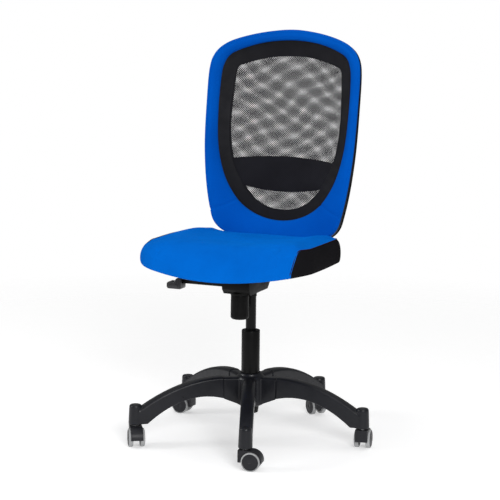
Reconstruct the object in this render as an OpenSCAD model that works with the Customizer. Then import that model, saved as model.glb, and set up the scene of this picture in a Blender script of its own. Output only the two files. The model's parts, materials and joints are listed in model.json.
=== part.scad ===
// Swivel office chair: five-leg base on twin-wheel casters, gas column, tilt mechanism,
// upholstered seat and a mesh back in a padded ring.
// Millimetres. Origin on the floor under the column, +Z up, the sitter faces -Y.

/* [Base] */
// Radius of the circle of caster stems
stem_circle_r = 320; // [300:5:340]
// Heading of the first leg, from the front towards the sitter's left
star_turn = 21; // [0:1:71]
// Width of a leg
leg_w = 35; // [30:1:38]
// Height of the crown of a leg
leg_crown_z = 176.5; // [172:0.5:180]

/* [Casters] */
// Wheel diameter
wheel_d = 50; // [46:1:50]
// Width of one wheel
wheel_w = 12.5; // [11:0.5:13]
// Distance from the stem to the axle
caster_trail = 17; // [14:1:20]
// Heading of each caster's trail, counter-clockwise from +X
caster_heading = [10, 99, 140, 178, -57];

/* [Column] */
// Outer tube diameter
tube_d = 50; // [48:1:52]
// Height of the top of the outer tube
tube_top_z = 301; // [290:1:304]
// Gas spring diameter
gas_d = 28; // [26:1:28]
// Downward stroke below the modelled height
lift_stroke = 90; // [60:5:90]

/* [Mechanism] */
// Height of the bottom of the housing
housing_z = 414; // [410:1:418]
// Outside width of the housing
housing_w = 78; // [72:1:80]
// Knob diameter
knob_d = 49; // [44:1:50]
// Distance of the knob axis in front of the column
knob_y = 77; // [70:1:80]
// Length of the lever from the column axis
lever_reach = 217; // [200:1:240]

/* [Seat] */
// Greatest width of the cushion
seat_w = 484; // [460:2:500]
// Height of the rim of the cushion
seat_rim_z = 551; // [545:1:556]
// Height of the underside of the cushion
seat_base_z = 484; // [482:1:486]

/* [Back] */
// Recline of the back from upright
recline = 9.8; // [5:0.1:12]
// Sideways radius of the back's curve
back_r = 500; // [450:10:600]
// Height of the top of the back
back_top_z = 1100; // [1080:1:1110]
// Width of the back
back_w = 450; // [430:2:460]

/* [Hidden] */
CASTERS = [1 : 5];
CASTER_PARTS = ["hood", "pins", "wheel_left", "tyre_left", "wheel_right", "tyre_right"];
$fn = 64;

black = [0.10, 0.10, 0.11];
dark = [0.16, 0.16, 0.17];
grey = [0.62, 0.63, 0.64];
steel = [0.72, 0.73, 0.75];
blue = [0.0, 0.36, 0.80];
mesh_black = [0.05, 0.05, 0.06];

run = 0.05;            // radial clearance of a running fit
tight = 0.02;          // radial clearance of a pressed or bolted fit
gap = 0.4;             // space between separate faces

// ---- casters -------------------------------------------------------------
wheel_r = wheel_d / 2;
disc_r = wheel_r - 7.7;
web_half = 9.2;
wheel_in = web_half + 0.55;
wheel_out = wheel_in + wheel_w;
hood_half = 16.5;
hood_r = wheel_r + 4;
hood_top = wheel_r + hood_r;
hood_bottom = 22;
axle_r = 3;
stem_r = 5.5;
stem_top = 98;
socket_bottom = 57.5;
socket_top = 112;

module at_caster(k) {
    heading = star_turn + 72 * (k - 1);
    translate([stem_circle_r * sin(heading), -stem_circle_r * cos(heading), 0])
        rotate([0, 0, caster_heading[k - 1]]) children();
}

module along_axle(from) {
    translate([caster_trail, from, wheel_r]) rotate([-90, 0, 0]) children();
}

// Side outline of the hood: a round trailing end joined to an upright leading wall
module hood_side() {
    intersection() {
        union() {
            translate([caster_trail, wheel_r]) circle(r = hood_r);
            translate([-caster_trail, hood_bottom])
                square([2 * caster_trail, hood_top - hood_bottom]);
        }
        translate([-caster_trail, hood_bottom]) square([100, 100]);
    }
}

module caster_hood(k) {
    color(black) at_caster(k) difference() {
        translate([0, hood_half, 0]) rotate([90, 0, 0])
            linear_extrude(2 * hood_half) hood_side();
        along_axle(web_half) cylinder(r = wheel_r + 1.3, h = 20);
        along_axle(-web_half - 20) cylinder(r = wheel_r + 1.3, h = 20);
        along_axle(-20) cylinder(r = axle_r + tight, h = 40);
        translate([0, 0, 30]) cylinder(r = stem_r + tight, h = 40);
    }
}

module caster_pins(k) {
    color(steel) at_caster(k) {
        translate([0, 0, 30]) cylinder(r = stem_r, h = stem_top - 30);
        translate([0, 0, hood_top + 0.3])
            cylinder(r = 9, h = socket_bottom - hood_top - 0.7);
        along_axle(-wheel_out + 3) cylinder(r = axle_r, h = 2 * wheel_out - 6);
    }
}

// A wheel disc with a shallow dome outside and a blind bore for the axle
module caster_wheel(k, side) {
    color(black) at_caster(k) along_axle(0) scale([1, 1, side]) rotate_extrude()
        polygon([
            [axle_r + run, wheel_in], [disc_r - 1, wheel_in], [disc_r, wheel_in + 1],
            [disc_r, wheel_out - 0.8], [disc_r - 0.8, wheel_out],
            [disc_r - 5, wheel_out + 0.3], [0, wheel_out + 0.5],
            [0, wheel_out - 2.5], [axle_r + run, wheel_out - 2.5]]);
}

module caster_tyre(k, side) {
    round_r = 3;
    color(grey) at_caster(k) along_axle(0) scale([1, 1, side]) rotate_extrude()
        polygon(concat(
            [[disc_r + run, wheel_in], [wheel_r - 1, wheel_in], [wheel_r, wheel_in + 1]],
            [for (a = [0 : 15 : 90]) [wheel_r - round_r + round_r * cos(a),
                                      wheel_out - round_r + round_r * sin(a)]],
            [[disc_r + run, wheel_out]]));
}

// ---- base ----------------------------------------------------------------
hub_r = 79;
crown_r = 83;
arch_r = 133;
arch_z = 125;
foot_z = 59;

function leg_top(r) = leg_crown_z - 0.00147 * pow(r - crown_r, 2);
function leg_under(r) = max(foot_z, arch_z - 0.00268 * pow(r - arch_r, 2));

// Section across a leg: flat sides and underside, rounded top, counter-clockwise
function leg_section(half, low, high) = let (round_r = half * 0.75)
    concat([[-half, low + 3], [-half + 3, low], [half - 3, low], [half, low + 3]],
           [for (a = [0 : 15 : 90])
               [half - round_r + round_r * cos(a), high - 0.55 * round_r * (1 - sin(a))]],
           [for (a = [90 : 15 : 180])
               [-half + round_r + round_r * cos(a), high - 0.55 * round_r * (1 - sin(a))]]);

// Skin over a row of closed sections with the same number of points
module skin(rings) {
    n = len(rings[0]);
    m = len(rings);
    polyhedron(
        points = [for (ring = rings) each ring],
        faces = concat(
            [[for (i = [0 : n - 1]) i]],
            [[for (i = [n - 1 : -1 : 0]) (m - 1) * n + i]],
            [for (j = [0 : m - 2]) for (i = [0 : n - 1])
                [j * n + i, (j + 1) * n + i, (j + 1) * n + (i + 1) % n, j * n + (i + 1) % n]]));
}

// The arch of a leg between two radii, along +X
module leg_arch(from, to, half, lower = 0) {
    steps = 14;
    skin([for (j = [0 : steps]) let (r = from + (to - from) * j / steps)
        [for (p = leg_section(half, leg_under(r) + lower, leg_top(r))) [r, p[0], p[1]]]]);
}

module leg(k) {
    color(black) rotate([0, 0, star_turn + 72 * (k - 1) - 90]) difference() {
        union() {
            leg_arch(hub_r, stem_circle_r - 8, leg_w / 2);
            translate([stem_circle_r, 0, 0]) rotate_extrude() polygon([
                [0, socket_bottom], [18, socket_bottom], [18.9, socket_bottom + 1],
                [16.8, socket_top - 4], [16.2, socket_top - 2],
                [14.6, socket_top - 0.5], [12, socket_top], [0, socket_top]]);
        }
        translate([stem_circle_r, 0, socket_bottom - 1])
            cylinder(r = stem_r + run, h = stem_top + 2 - socket_bottom + 1);
    }
}

tube_r = tube_d / 2;
tube_bottom = 72.5;

module base_hub() {
    color(black) difference() {
        union() {
            rotate_extrude() polygon([
                [0, 92], [30, 92], [38, 97], [40, 112], [40, 172], [36, 176],
                [31, 178], [30, 182], [28, 184], [0, 184]]);
            for (k = CASTERS) rotate([0, 0, star_turn + 72 * (k - 1) - 90]) hub_arm();
        }
        translate([0, 0, 80]) cylinder(r = tube_r + run, h = 120);
    }
}

// A stub arm that carries a leg: its underside rises from the middle outwards
module hub_arm() {
    half = leg_w / 2 - 0.8;
    skin([for (r = [26, 40, 60, hub_r - 0.2])
        [for (p = leg_section(half, 94 + (r - 26) * 0.42, min(leg_crown_z - 1.5, 173 + (r - 26) * 0.04)))
            [r, p[0], p[1]]]]);
}

// ---- column --------------------------------------------------------------
gas_r = gas_d / 2;
gas_bottom = tube_bottom + lift_stroke + 12;
bush_bottom = tube_top_z - 86;
rod_r = 5;
collar_z = 394;
gas_top = 440;

module column_outer_tube() {
    color(black) rotate_extrude() polygon([
        [rod_r + run, tube_bottom], [tube_r - 3.5, tube_bottom], [tube_r - 1, tube_bottom + 18],
        [tube_r, 96], [tube_r, tube_top_z - 1.5], [tube_r - 1.5, tube_top_z],
        [tube_r - 2.5, tube_top_z], [tube_r - 2.5, 97], [tube_r - 5, tube_bottom + 5],
        [rod_r + run, tube_bottom + 5]]);
}

module column_guide_bush() {
    color(dark) rotate_extrude() polygon([
        [gas_r + run, bush_bottom], [tube_r - 2.5 - tight, bush_bottom],
        [tube_r - 2.5 - tight, tube_top_z - 0.5], [gas_r + run, tube_top_z - 0.5]]);
}

// Rod with its bearing washers and clip below and the piston above
module column_piston_rod() {
    color(steel) rotate_extrude() polygon([
        [0, tube_bottom - 7], [rod_r - 1, tube_bottom - 7], [rod_r - 1, tube_bottom - 4],
        [rod_r + 3.5, tube_bottom - 4], [rod_r + 3.5, tube_bottom - gap],
        [rod_r, tube_bottom - gap], [rod_r, tube_bottom + 5 + gap],
        [rod_r + 7, tube_bottom + 5 + gap], [rod_r + 7, tube_bottom + 8], [rod_r, tube_bottom + 8],
        [rod_r, 200], [gas_r - 2.6, 200], [gas_r - 2.6, 212], [0, 212]]);
}

module column_gas_spring() {
    color(black) rotate_extrude() polygon([
        [rod_r + run, gas_bottom], [gas_r - 1, gas_bottom], [gas_r, gas_bottom + 1],
        [gas_r, collar_z], [gas_r + 1.5, collar_z], [gas_r + 1.5, housing_z - gap],
        [gas_r, housing_z - gap], [gas_r - 1, gas_top], [4 + run, gas_top], [4 + run, 423],
        [1, 423], [1, 400], [gas_r - 2, 390], [gas_r - 2, gas_bottom + 12],
        [rod_r + run, gas_bottom + 12]]);
}

module column_release_pin() {
    color(steel) translate([0, 0, 429]) cylinder(r = 4, h = 17.2);
}

// ---- mechanism -----------------------------------------------------------
wall = 3;
housing_half = housing_w / 2;
housing_front = -knob_y - 31;
housing_rear = 52;
housing_top = 463;
pivot = [0, 10, 446];
pivot_r = 5;
knob_r = knob_d / 2;
knob_bottom = 345;
knob_top = 411;
lever_y = -60;
lever_z = 430;
lever_bar = 9;

// Side outline of the housing: raked front, rising rear and a top cut back behind the pivot
module housing_side(grow = 0) {
    polygon([
        [housing_front + 12 - grow, housing_z + grow], [22 + grow / 2, housing_z + grow],
        [housing_rear - grow, 444 + grow], [housing_rear - grow, 452 + 10 * grow],
        [14, housing_top + 10 * grow], [housing_front + grow, housing_top + 10 * grow],
        [housing_front + grow, 428]]);
}

module across(width) {
    translate([-width / 2, 0, 0]) rotate([90, 0, 90]) linear_extrude(width) children();
}

module tilt_housing() {
    color(black) difference() {
        union() {
            across(housing_w) housing_side();
            translate([0, -knob_y, knob_top + gap])
                cylinder(r = knob_r + 1, h = housing_z + wall - knob_top - gap);
            translate([0, 0, housing_z]) cylinder(r = 21, h = 22);
        }
        difference() {
            across(housing_w - 2 * wall) housing_side(wall);
            translate([0, 0, housing_z - 1]) cylinder(r = 21, h = 25 - wall);
        }
        translate([0, 0, housing_z - 1]) cylinder(r1 = gas_r + 0.1, r2 = gas_r - 0.6, h = 30);
        translate([0, -knob_y, knob_top - 1]) cylinder(r = 4 + tight, h = 20);
        translate([0, -knob_y, knob_top]) cylinder(r = knob_r - 6, h = housing_z - knob_top);
        translate([-60, pivot[1], pivot[2]]) rotate([0, 90, 0])
            cylinder(r = pivot_r + tight, h = 120);
        translate([-housing_half - 1, lever_y, lever_z]) rotate([0, 90, 0])
            cylinder(r = bush_r + run, h = wall + 2);
    }
}

// The tilt pivot and the tension bolt, both held in the housing
module mechanism_pins() {
    color(steel) {
        translate([-48, pivot[1], pivot[2]]) rotate([0, 90, 0]) cylinder(r = pivot_r, h = 96);
        for (x = [-50.5, 48]) translate([x, pivot[1], pivot[2]]) rotate([0, 90, 0])
            cylinder(r = 8, h = 2.5);
        translate([0, -knob_y, 351]) cylinder(r = 4, h = 69);
        translate([0, -knob_y, housing_z + wall + gap]) cylinder(r = 7.5, h = 5, $fn = 6);
    }
}

module tension_knob() {
    color(black) translate([0, -knob_y, 0]) difference() {
        rotate_extrude() polygon(concat(
            [[0, knob_bottom]],
            [for (a = [-90 : 15 : 0]) [knob_r - 7 + 7 * cos(a), knob_bottom + 7 + 7 * sin(a)]],
            [[knob_r - 0.6, knob_top], [knob_r - 4, knob_top], [knob_r - 4, knob_bottom + 4],
             [0, knob_bottom + 4]]));
        for (a = [0 : 30 : 330]) rotate([0, 0, a])
            translate([knob_r + 2.2, 0, knob_bottom + 8]) cylinder(r = 2.8, h = 40, $fn = 16);
    }
}

nut_z = 357;

// Spring plate with a threaded middle; it turns with the knob and climbs the bolt
module tension_nut() {
    color(steel) translate([0, -knob_y, nut_z]) difference() {
        union() {
            cylinder(r = 19, h = 4);
            translate([0, 0, 4]) cylinder(r = 8, h = 6);
        }
        translate([0, 0, -1]) cylinder(r = 4 + run, h = 14);
    }
}

spring_turns = 5;
spring_wire = 4;
spring_r = 14;

module tension_spring() {
    from = nut_z + 4 + spring_wire / 2 + gap;
    to = housing_z - spring_wire / 2 - gap;
    steps = spring_turns * 16;
    color(steel) translate([0, -knob_y, 0]) skin([for (j = [0 : steps])
        let (a = 360 * spring_turns * j / steps, z = from + (to - from) * j / steps)
        [for (b = [0 : 45 : 315]) let (r = spring_r + spring_wire / 2 * cos(b))
            [r * cos(a), r * sin(a), z + spring_wire / 2 * sin(b)]]]);
}

// Bush in the housing wall: it slides sideways for the tilt lock and carries the lever's pin
bush_l = 36;
bush_r = 9;
trunnion_r = 3;
trunnion_x = -housing_half + 2;

module lever_pivot_bush() {
    slot_h = lever_bar + 5.2;
    color(dark) difference() {
        translate([trunnion_x - bush_l / 2, lever_y, lever_z]) rotate([0, 90, 0])
            cylinder(r = bush_r, h = bush_l);
        translate([trunnion_x - 30, lever_y - lever_bar / 2 - 0.6, lever_z - slot_h / 2])
            cube([60, lever_bar + 1.2, slot_h]);
        translate([trunnion_x, lever_y - 20, lever_z]) rotate([-90, 0, 0])
            cylinder(r = trunnion_r + run, h = 40);
    }
}

// Bar with trunnions, and a cranked inner end that lies over the release pin
module height_lever() {
    crank_x = -18;
    crank_w = 30;
    plate_z = 447;
    plate_t = 3.4;
    bar_out = lever_reach - 22;
    color(black) {
        translate([-bar_out, lever_y - lever_bar / 2, lever_z - lever_bar / 2])
            cube([bar_out + 6, lever_bar, lever_bar]);
        translate([trunnion_x, lever_y - bush_r + 1.5, lever_z]) rotate([-90, 0, 0])
            cylinder(r = trunnion_r, h = 2 * bush_r - 3);
        translate([crank_x, lever_y - lever_bar / 2, lever_z])
            cube([crank_w, lever_bar, plate_z + plate_t - lever_z]);
        translate([crank_x, lever_y - lever_bar / 2, plate_z])
            cube([crank_w, lever_bar - lever_y - 2, plate_t]);
    }
}

module lever_paddle() {
    paddle_l = 42;
    paddle_w = 34;
    paddle_h = 17;
    color(dark) translate([-lever_reach, lever_y, 410]) difference() {
        translate([0, paddle_w / 2, 0]) rotate([90, 0, 0]) linear_extrude(paddle_w)
            polygon([[0, 5], [3, 0], [paddle_l - 2, 0], [paddle_l, 3], [paddle_l, 29],
                     [paddle_l - 14, 29], [paddle_l - 22, paddle_h], [3, paddle_h + 1], [0, 14]]);
        translate([10, -lever_bar / 2 - tight, lever_z - 410 - lever_bar / 2 - tight])
            cube([60, lever_bar + 2 * tight, lever_bar + 2 * tight]);
    }
}

// ---- seat ----------------------------------------------------------------
carrier_z = 466;
carrier_t = 4;
shell_z = carrier_z + carrier_t;
shell_inset = 27;
dish_z = 476;
dish_r = 1200;
rake = 0.06;
front_r = 92;
front_c = [seat_w / 2 - front_r, -165];
rear_r = 40;
rear_c = [165, 127];
bow_r = 700;
bow_c = [0, -275 + bow_r];
bow_half_angle = atan2(front_c[0], bow_c[1] - front_c[1]);
side_angle = 7.3;

// Point of the seat's plan outline whose outward normal is at angle a, moved in by inset
function plan_arc(a) = let (n = abs(((a + 90 + 180) % 360 + 360) % 360 - 180))
    n < bow_half_angle ? [bow_c, bow_r]
    : n < 90 + side_angle ? [front_c, front_r]
    : [rear_c, rear_r];
function plan_point(a, inset) = let (arc = plan_arc(a), right = cos(a) >= 0 ? 1 : -1)
    [arc[0][0] * right + (arc[1] - inset) * cos(a), arc[0][1] + (arc[1] - inset) * sin(a)];
plan_angles = concat([for (a = [-102 : 4 : -78]) a], [for (a = [-74 : 8 : 6]) a],
                     [for (a = [8 : 12 : 80]) a], [90, 92], [for (a = [100 : 12 : 172]) a],
                     [for (a = [174 : 8 : 254]) a]);
function plan(inset) = [for (a = plan_angles) plan_point(a, inset)];

// Heights over a point p of the plan: the shell's dish, the cushion's rim and its lower edge
function dish(p) = p[0] * p[0] / (2 * dish_r);
function rim(p) = seat_rim_z - rake * (max(p[1], -190) + 10);
function lower_edge(p) = 474 + pow(p[0] / 230, 2) * (23 - 0.05 * (p[1] + 64));

carrier_bolts = [[-55, -95], [55, -95], [-55, 80], [55, 80]];
bracket_bolts = [[-20, 114], [20, 114], [-20, 129], [20, 129]];
armrest_x = 150;
armrest_z = 482;
armrest_pad = 26;
armrest_y = [-35, 25];

module seat_carrier() {
    flange_in = housing_half + 2;
    color(black) difference() {
        union() {
            translate([-72, -115, carrier_z]) cube([144, 215, carrier_t]);
            for (s = [-1, 1]) translate([s < 0 ? -flange_in - 4 : flange_in, 0, 0])
                rotate([90, 0, 90]) linear_extrude(4) polygon([
                    [-40, carrier_z + 1], [-8, 434], [24, 434], [62, carrier_z + 1]]);
        }
        translate([-60, pivot[1], pivot[2]]) rotate([0, 90, 0])
            cylinder(r = pivot_r + run, h = 120);
        for (p = carrier_bolts) translate([p[0], p[1], carrier_z - 1])
            cylinder(r = 3.3, h = carrier_t + 2);
    }
}

// Everything over a trough along Y whose lowest line is at height z
module dished_above(z) {
    translate([0, 300, z + dish_r]) rotate([90, 0, 0]) cylinder(r = dish_r, h = 600, $fn = 180);
}

module seat_shell() {
    pad_y = armrest_y[0] - armrest_pad / 2;
    color(black) difference() {
        intersection() {
            translate([0, 0, shell_z]) linear_extrude(60) polygon(plan(shell_inset));
            union() {
                dished_above(dish_z);
                translate([-78, -120, shell_z]) cube([156, 260, 30]);
                for (s = [-1, 1]) translate([s * armrest_x - armrest_pad / 2, pad_y, armrest_z])
                    cube([armrest_pad, armrest_y[1] - armrest_y[0] + armrest_pad, 20]);
            }
        }
        dished_above(seat_base_z - gap);
        for (p = carrier_bolts) translate([p[0], p[1], shell_z - 1])
            cylinder(r = 3 + run, h = 10);
        for (p = bracket_bolts) translate([p[0], p[1], shell_z - 1])
            cylinder(r = 3 + run, h = 10);
        for (s = [-1, 1], y = armrest_y) translate([s * armrest_x, y, armrest_z - 1])
            cylinder(r = 3.3, h = 20);
    }
}

// Cushion: rings from the middle of the underside, round the lip that hides the shell's edge,
// up the wall and over the rim to the shallow hollow on top. Each ring is an inset with heights
// over the dish, the lower edge or the rim, or a share of the plan's size for the inner rings.
module seat_cushion() {
    under = shell_inset;
    base = seat_base_z + gap;
    rings = concat(
        [for (share = [0.3, 0.6, 0.85]) [for (p = plan(under) * share)
            [p[0], p[1], base + dish(p)]]],
        [for (inset = [under, under - 1.5]) [for (p = plan(inset))
            [p[0], p[1], base + dish(p)]]],
        [for (r = [[under - 2, 1], [16, 0], [5, 4], [0, 15]]) [for (p = plan(r[0]))
            [p[0], p[1], lower_edge(p) + r[1]]]],
        [for (r = [[0, -26], [3, -14], [10, -3], [20, 1], [34, 2]]) [for (p = plan(r[0]))
            [p[0], p[1], rim(p) + r[1]]]],
        [for (r = [[0.72, -1], [0.5, -5], [0.25, -8]]) [for (p = plan(34) * r[0])
            [p[0], p[1], rim(p) + r[1]]]]);
    color(blue) skin(rings);
}

// ---- back ----------------------------------------------------------------
// Back frame of reference: X across, Y backwards from the front face, Z up along the back
back_foot = [0, 195, 600];
ring_t = 11;
mesh_t = 0.9;
layer_gap = 0.3;
frame_n = ring_t + mesh_t + 2 * layer_gap;
frame_t = 6;
wedge = 1.7;
rear_n = frame_n + frame_t;
rise = 1 / cos(recline);
top_u = (back_top_z - back_foot[2]) * rise;

module in_back() {
    translate(back_foot) rotate([-recline, 0, 0]) children();
}

// Solid on the rear side of a cylinder face at depth n, leaning back from the top by a wedge
module behind(n, lean = 0) {
    translate([0, n, top_u]) rotate([lean, 0, 0]) translate([0, -back_r, -800])
        difference() {
            translate([-300, -100, 0]) cube([600, 300 + back_r, 1000]);
            translate([0, 0, -1]) cylinder(r = back_r, h = 1002, $fn = 180);
        }
}

module layer(from, to, lean_from = 0, lean_to = 0) {
    difference() {
        intersection() {
            translate([0, 150, 0]) rotate([90, 0, 0]) linear_extrude(300) children();
            behind(from, lean_from);
        }
        behind(to, lean_to);
    }
}

// Closed smooth curve through the points of a right half and their mirror images
function mirrored(right) = concat(right, [for (i = [len(right) - 2 : -1 : 1])
    [-right[i][0], right[i][1]]]);
function blend(p, q, r, s, t) = 0.5 * (2 * q + (r - p) * t
    + (2 * p - 5 * q + 4 * r - s) * t * t + (3 * q - p - 3 * r + s) * t * t * t);
function smooth(pts, steps) = let (n = len(pts)) [for (i = [0 : n - 1]) for (j = [0 : steps - 1])
    blend(pts[(i + n - 1) % n], pts[i], pts[(i + 1) % n], pts[(i + 2) % n], j / steps)];

half_w = back_w / 2;
back_rim = [[0, -95], [75, -88], [133, -69], [162, -58], [180, -38], [half_w - 34, -2],
    [half_w - 19, 50], [half_w - 8, 115], [half_w - 2, 190], [half_w, 290], [half_w - 1, 385],
    [half_w - 12, 430], [half_w - 40, 461], [138, 483], [72, 500], [0, top_u]];
opening = [[0, -25], [60, -15], [112, 14], [148, 58], [172, 110], [188, 180], [194, 270],
    [193, 360], [187, 403], [167, 434], [110, 460], [55, 473], [0, 477]];
window_edge = [[0, 6], [52, 14], [95, 42], [125, 85], [149, 135], [161, 190], [165, 250],
    [163, 310], [158, 380], [151, 400], [135, 408], [100, 420], [52, 431], [0, 434]];

module outer_outline(inset = 0) {
    offset(delta = -inset) polygon(smooth(mirrored(back_rim), 4));
}

module ring_opening(grow = 0) {
    offset(delta = grow) polygon(smooth(mirrored(opening), 4));
}

module window(grow = 0) {
    offset(delta = grow) polygon(smooth(mirrored(window_edge), 4));
}

module back_cover() {
    color(blue) in_back() layer(0, ring_t) difference() {
        outer_outline();
        ring_opening();
    }
}

module back_mesh_front() {
    color(mesh_black) in_back() layer(ring_t + layer_gap, ring_t + layer_gap + mesh_t)
        ring_opening(10);
}

module back_frame() {
    color(black) in_back() difference() {
        layer(frame_n, rear_n, 0, wedge) difference() {
            outer_outline(4);
            window();
        }
        for (p = back_screws) translate([p[0], 0, p[1]]) rotate([-90, 0, 0])
            cylinder(r = 3 + run, h = 100);
    }
}

module back_mesh_rear() {
    color(mesh_black) in_back()
        layer(rear_n + layer_gap, rear_n + layer_gap + mesh_t, wedge, wedge) window(8);
}

cover_n = rear_n + 2 * layer_gap + mesh_t;
cover_t = 2.5;

module back_rear_cover() {
    color(black) in_back() difference() {
        layer(cover_n, cover_n + cover_t, wedge, wedge) difference() {
            outer_outline(2);
            window(1);
        }
        for (p = back_screws) translate([p[0], 0, p[1]]) rotate([-90, 0, 0])
            cylinder(r = 3.3, h = 100);
    }
}

// Lens-shaped pad across the opening
module lumbar_pad() {
    top_r = 900;
    under_r = 560;
    color(black) in_back() layer(frame_n, frame_n + 8) intersection() {
        window(-1);
        translate([0, 154 - top_r]) circle(r = top_r, $fn = 180);
        translate([0, 55 + under_r]) circle(r = under_r, $fn = 180);
    }
}

// Flat bar: under the shell, round a bend and up behind the back
back_screws = [[-18, -65], [18, -65], [-18, -32], [18, -32]];
bracket_half = 30;
bracket_t = 6;
bracket_top_z = 588;
bend_r = 26;
upright = recline - wedge;
rear_top = [back_foot[1] + (cover_n + cover_t + layer_gap) * cos(recline) + top_u * sin(recline),
            back_foot[2] - (cover_n + cover_t + layer_gap) * sin(recline) + top_u * cos(recline)];
function rear_y(z) = rear_top[0] + (z - rear_top[1]) * tan(upright);
bend_c = [rear_y(shell_z + bend_r) - bend_r / cos(upright), shell_z + bend_r];

module back_bracket() {
    top_y = rear_y(bracket_top_z);
    arc = [for (i = [0 : 8]) -90 + (90 - upright) * i / 8];
    color(black) difference() {
        across(2 * bracket_half) polygon(concat(
            [[102, shell_z - bracket_t], [102, shell_z]],
            [for (a = arc) bend_c + bend_r * [cos(a), sin(a)]],
            [[top_y, bracket_top_z],
             [top_y + bracket_t * cos(upright), bracket_top_z - bracket_t * sin(upright)]],
            [for (i = [8 : -1 : 0]) bend_c + (bend_r + bracket_t) * [cos(arc[i]), sin(arc[i])]]));
        for (p = bracket_bolts) translate([p[0], p[1], shell_z - bracket_t - 1])
            cylinder(r = 3.3, h = 10);
        in_back() for (p = back_screws) translate([p[0], 0, p[1]]) rotate([-90, 0, 0])
            cylinder(r = 3.3, h = 100);
    }
}

// Screws: carrier and bracket to the shell from below, back to the bracket from behind
module screws() {
    color(steel) {
        for (p = carrier_bolts) translate([p[0], p[1], 0]) {
            translate([0, 0, carrier_z - 4]) cylinder(r = 5, h = 4 - 0.02);
            translate([0, 0, carrier_z - 1]) cylinder(r = 3, h = 9);
        }
        for (p = bracket_bolts) translate([p[0], p[1], 0]) {
            translate([0, 0, shell_z - bracket_t - 4]) cylinder(r = 5, h = 4 - 0.02);
            translate([0, 0, shell_z - bracket_t - 1]) cylinder(r = 3, h = 12);
        }
        in_back() for (p = back_screws) {
            depth = cover_n + cover_t + layer_gap + (top_u - p[1]) * tan(wedge) + bracket_t + 0.5;
            translate([p[0], 0, p[1]]) rotate([-90, 0, 0]) {
                translate([0, 0, depth]) cylinder(r = 5, h = 4);
                translate([0, 0, depth - 22]) cylinder(r = 3, h = 23);
            }
        }
    }
}

for (k = CASTERS) {
    caster_hood(k);
    caster_pins(k);
    caster_wheel(k, 1);
    caster_tyre(k, 1);
    caster_wheel(k, -1);
    caster_tyre(k, -1);
    leg(k);
}
base_hub();
column_outer_tube();
column_guide_bush();
column_piston_rod();
column_gas_spring();
column_release_pin();
tilt_housing();
mechanism_pins();
tension_knob();
tension_nut();
tension_spring();
lever_pivot_bush();
height_lever();
lever_paddle();
seat_carrier();
seat_shell();
seat_cushion();
back_bracket();
back_frame();
back_cover();
back_mesh_front();
back_mesh_rear();
lumbar_pad();
back_rear_cover();
screws();
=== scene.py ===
"""Looks of the swivel office chair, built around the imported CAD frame."""
import json
import math

import bpy
import numpy as np
from mathutils import Matrix, Vector


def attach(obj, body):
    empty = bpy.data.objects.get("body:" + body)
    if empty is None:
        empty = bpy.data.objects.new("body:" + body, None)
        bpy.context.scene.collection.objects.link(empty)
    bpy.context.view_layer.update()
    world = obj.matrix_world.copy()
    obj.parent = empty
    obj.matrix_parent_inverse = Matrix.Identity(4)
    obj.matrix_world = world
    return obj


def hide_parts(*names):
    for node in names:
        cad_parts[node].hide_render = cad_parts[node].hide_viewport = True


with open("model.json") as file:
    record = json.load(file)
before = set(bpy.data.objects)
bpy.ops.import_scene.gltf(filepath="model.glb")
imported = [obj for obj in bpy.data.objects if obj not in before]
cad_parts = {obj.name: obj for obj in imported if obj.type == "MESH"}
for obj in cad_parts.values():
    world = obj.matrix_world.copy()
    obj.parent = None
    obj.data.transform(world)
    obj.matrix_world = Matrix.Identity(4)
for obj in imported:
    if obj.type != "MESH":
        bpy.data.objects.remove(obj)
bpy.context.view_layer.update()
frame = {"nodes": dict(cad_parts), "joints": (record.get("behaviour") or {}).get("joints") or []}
MM = 0.001
CASTERS = range(1, 6)

# ---- placement read from the frame ---------------------------------------
JOINTS = {j["name"]: j for j in frame["joints"]}


def joint_point(name):
    return np.array(JOINTS[name]["pos_m"]) / MM


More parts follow.
